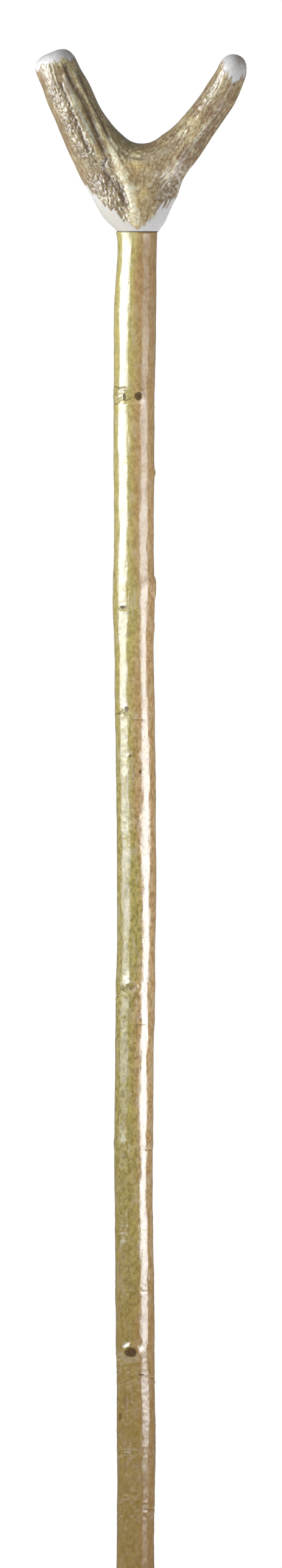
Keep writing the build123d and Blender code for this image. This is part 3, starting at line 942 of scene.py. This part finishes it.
def hazel_material():
    """Hazel bark under gloss varnish, mottled silver: olive where the left light falls and tan on the other
    side, a painted lit side.
    """
    s = Shader("hazel_bark")
    streak = s.noise(s.place((0.75, 0.75, 0.12)), 4.0, 0.6)
    mottle = s.noise(s.place((0.26, 0.26, 0.1)), 4.0, 0.62, 0.4)
    blotch = s.noise(s.place((0.45, 0.45, 0.32)), 4.0, 0.66)
    fleck = s.noise(s.place((1.5, 1.5, 1.1)), 3.0, 0.65)
    olive = s.mix(s.range(blotch, 0.36, 0.64), srgb(120, 108, 38), srgb(166, 150, 80))
    tan = s.mix(s.range(blotch, 0.36, 0.64), srgb(128, 94, 44), srgb(172, 140, 92))
    # painted light: the upper shank, near the fork, is made lighter, tan-orange on one side and olive-yellow
    # on the lit side
    upper = s.mix(s.read("lit_side"), srgb(216, 172, 112), srgb(206, 192, 118))
    # the painted olive of the lit side against the tan of the other side
    bark = s.layers(s.mix(s.read("lit_side"), tan, olive), [
        (s.range(streak, 0.52, 0.72, 0.0, 0.4), srgb(119, 90, 37)),
        (s.range(mottle, 0.48, 0.68, 0.0, 0.6), srgb(172, 156, 132)),
        (s.range(fleck, 0.55, 0.7, 0.0, 0.55), srgb(109, 84, 39)),
        (s.range(fleck, 0.45, 0.32, 0.0, 0.4), srgb(195, 178, 138)),
        (s.range(s.read("depth"), 480.0, 760.0, 0.0, 0.62), srgb(130, 94, 30)),
        # painted light on the upper shank
        (s.range(s.read("depth"), 60.0, 460.0, 0.26, 0.0), upper),
        (s.range(s.read("lenticel"), 0.2, 0.9, 0.0, 0.45), srgb(147, 132, 99)),
        (s.range(s.read("crease"), 0.15, 0.9, 0.0, 0.75), srgb(84, 64, 36)),
        (s.range(s.read("pale"), 0.2, 0.8, 0.0, 0.9), srgb(163, 141, 119)),
        (s.times(s.range(s.read("eye"), 0.1, 0.75), s.range(fleck, 0.36, 0.5, 1.0, 0.8)), srgb(56, 36, 20)),
    ])
    wood = s.mix(s.range(streak, 0.35, 0.65), srgb(184, 158, 119), srgb(163, 131, 89))
    s.set(Base_Color=s.mix(s.read("bare_wood"), bark, wood))
    s.set(Roughness=s.range(blotch, 0.3, 0.7, 0.42, 0.56))
    dull = s.math("MAXIMUM", s.read("crease"), s.read("eye"))
    dull = s.math("MAXIMUM", dull, s.range(fleck, 0.59, 0.67, 0.0, 0.7))
    mossy = s.times(s.range(s.read("lit_side"), 0.0, 1.0, 0.2, 0.0), s.range(blotch, 0.36, 0.62))
    dull = s.math("MAXIMUM", dull, mossy)
    s.set(Coat_Weight=s.range(dull, 0.1, 0.7, 0.95, 0.1), Coat_Roughness=0.12, Coat_IOR=2.2)
    s.set(Specular_IOR_Level=0.15)
    ripple = s.math("ADD", s.times(fleck, 0.5), s.times(streak, 1.6))
    uneven = s.math("ADD", ripple, blotch)
    s.set(Normal=s.bump(uneven, 0.16), Coat_Normal=s.bump(uneven, 0.045))
    return s.material


# ---------------------------------------------------------------- metal, glue and the fittings


def metal_material(name, colour, dull, roughness, turned):
    """Turned metal with fine rings, scuffs and tarnish. The rings lie closer the larger turned is."""
    s = Shader(name)
    rings = s.noise(s.place((0.05, 0.05, turned)), 2.0)
    tarnish = s.noise(s.place((0.35, 0.35, 0.35)), 5.0, 0.65)
    scuffs = s.noise(s.place((1.4, 1.4, 0.25)), 3.0, 0.7, 0.6)
    tone = s.mix(s.range(tarnish, 0.35, 0.8, 0.0, 0.5), colour, dull)
    tone = s.mix(s.range(scuffs, 0.6, 0.75, 0.0, 0.4), tone, dull)
    s.set(Base_Color=tone, Metallic=1.0)
    s.set(Roughness=s.range(tarnish, 0.3, 0.75, roughness, roughness + 0.12))
    s.set(Normal=s.bump(s.math("ADD", rings, s.times(scuffs, 0.4)), 0.04))
    return s.material


def glue_material(name, colour, darker):
    """Cured glue or epoxy, slightly uneven."""
    s = Shader(name)
    cloud = s.noise(s.place((0.4, 0.4, 0.4)), 3.0)
    s.set(Base_Color=s.mix(s.range(cloud, 0.35, 0.65), colour, darker))
    s.set(Roughness=s.range(cloud, 0.3, 0.7, 0.3, 0.5))
    s.set(Normal=s.bump(s.noise(s.place((1.5, 1.5, 1.5))), 0.05))
    return s.material


def dress(material, *nodes):
    """Gives a material to CAD nodes that keep their own shape."""
    for node in nodes:
        mesh = frame["nodes"][node].data
        mesh.materials.clear()
        mesh.materials.append(material)


# ---------------------------------------------------------------- studio


def flat_panel(name, width, height):
    """A flat rectangle round its own origin."""
    mesh = bpy.data.meshes.new(name)
    corners = [(-0.5, -0.5), (0.5, -0.5), (0.5, 0.5), (-0.5, 0.5)]
    mesh.from_pydata([(x * width, y * height, 0) for x, y in corners], [], [(0, 1, 2, 3)])
    return mesh


SIDE_CORE = 0.2  # a light is even over this share of its width to each side of its middle


def softbox(name, centre, aim, width, height, strength, tint, fade_down, fade_up):
    """A glowing panel that the camera doesn't see. Its light fades towards its lower and upper
    edges over the given shares of its height, and towards its sides from SIDE_CORE outwards."""
    mesh = flat_panel(name, width, height)
    panel = bpy.data.objects.new(name, mesh)
    panel.location = centre
    panel.rotation_euler = (Vector(aim) - Vector(centre)).to_track_quat("Z", "Y").to_euler()
    panel.visible_camera = False
    bpy.context.scene.collection.objects.link(panel)
    panel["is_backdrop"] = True
    s = Shader(name)
    place = s.add("TexCoord", {}, "Object")
    across, up = (s.add("SeparateXYZ", {0: place}, output) for output in (0, 1))
    low, high = -height / 2, height / 2
    glow = s.times(s.range(up, low, low + fade_down * height), s.range(up, high, high - fade_up * height))
    glow = s.times(glow, s.range(s.math("ABSOLUTE", across), width / 2, SIDE_CORE * width))
    light = s.add("Emission", {"Color": tint, "Strength": s.times(glow, strength)})
    s.tree.nodes.remove(s.surface)
    s.tree.links.new(light, s.tree.nodes["Material Output"].inputs["Surface"])
    mesh.materials.append(s.material)


FLOOR_WIDTH = 12.0  # metres


def floor():
    """A wide pale floor at the foot of the stick."""
    mesh = flat_panel("floor", FLOOR_WIDTH, FLOOR_WIDTH)
    s = Shader("floor")
    s.set(Base_Color=srgb(236, 236, 234), Roughness=0.8)
    s.set(Emission_Color=srgb(255, 255, 255), Emission_Strength=0.46)
    mesh.materials.append(s.material)
    plane = bpy.data.objects.new("floor", mesh)
    bpy.context.scene.collection.objects.link(plane)
    plane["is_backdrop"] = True


SKY_SEEN = 1.0  # how bright the white is to the camera
SKY_GIVEN = 0.18  # and as light on the object


def world():
    """White behind the object, and a dimmer even light from all round on it."""
    sky = bpy.data.worlds.new("studio")
    sky.use_nodes = True
    tree = sky.node_tree
    tree.nodes.clear()
    given, seen = (tree.nodes.new("ShaderNodeBackground") for _ in range(2))
    for node, strength in ((given, SKY_GIVEN), (seen, SKY_SEEN)):
        node.inputs["Color"].default_value = (1, 1, 1, 1)
        node.inputs["Strength"].default_value = strength
    path = tree.nodes.new("ShaderNodeLightPath")
    mix = tree.nodes.new("ShaderNodeMixShader")
    out = tree.nodes.new("ShaderNodeOutputWorld")
    tree.links.new(path.outputs["Is Camera Ray"], mix.inputs[0])
    tree.links.new(given.outputs[0], mix.inputs[1])
    tree.links.new(seen.outputs[0], mix.inputs[2])
    tree.links.new(mix.outputs[0], out.inputs[0])
    bpy.context.scene.world = sky


VIEW_HEIGHT = 0.947  # metres of the stick that the picture's height shows
VIEW_TOP = 0.1397  # the picture's top edge above the seat
VIEW_SIDE = 0.002  # the picture's middle to the right of the seat
VIEW_AWAY = 3.0  # the camera from the stick


def camera():
    """A level view square on to the fork, with no perspective. The camera stands level with the
    whole stick's middle, and its shift frames the upper part."""
    low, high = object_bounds()
    middle = (low[2] + high[2]) / 2
    data = bpy.data.cameras.new("camera")
    data.type = "ORTHO"
    data.ortho_scale = VIEW_HEIGHT
    data.shift_y = (SEAT[2] + VIEW_TOP - VIEW_HEIGHT / 2 - middle) / VIEW_HEIGHT
    view = bpy.data.objects.new("camera", data)
    view.location = (SEAT[0] + VIEW_SIDE, -VIEW_AWAY, middle)
    view.rotation_euler = (pi / 2, 0, 0)
    bpy.context.scene.collection.objects.link(view)
    bpy.context.scene.camera = view


def studio():
    """Two tall soft lights in front, the left one level with the fork and the right one lower,
    and a broad weak one overhead."""
    aim = (SEAT[0], SEAT[1])
    for name, turn, away, low, high, width, strength, fade_down, fade_up in (
        ("left_light", -69.0, 1.15, 0.54, 1.98, 1.66, 7.2, 0.43, 0.08),
        ("right_light", 59.0, 0.45, 0.32, 1.30, 0.50, 6.6, 0.36, 0.60),
    ):
        centre = (aim[0] + away * sin(radians(turn)), aim[1] - away * cos(radians(turn)), (low + high) / 2)
        softbox(name, centre, (*aim, centre[2]), width, high - low, strength, srgb(243, 249, 255),
                fade_down, fade_up)
    softbox("top_light", (SEAT[0] - 0.25, -1.5, 2.5), (SEAT[0], 0, 1.1), 2.0, 2.0, 1.2,
            srgb(255, 255, 255), 0.2, 0.2)
    floor()
    world()
    bpy.context.scene.view_settings.view_transform = "Standard"


# ---------------------------------------------------------------- the object

antler = antler_mesh()
sculpt_antler(antler)
new_piece("antler", antler, antler_material(), "antler_fork")
new_piece("bark_shank", shank_mesh(), hazel_material(), "hazel_shank")

brass = metal_material("brass", srgb(206, 168, 96), srgb(140, 108, 62), 0.22, 2.5)
tread = metal_material("tread_steel", srgb(168, 168, 168), srgb(104, 98, 92), 0.35, 0.2)
stud = metal_material("stud_steel", srgb(186, 188, 190), srgb(130, 130, 132), 0.3, 0.2)
epoxy = glue_material("epoxy", srgb(92, 84, 74), srgb(70, 62, 54))
dress(brass, "ferrule_cup", "ferrule_pins")
dress(tread, "ferrule_tread")
dress(stud, "joint_stud")
dress(epoxy, "joint_glue_bed", "stud_epoxy_in_antler", "stud_epoxy_in_shank", "ferrule_glue")

studio()
camera()
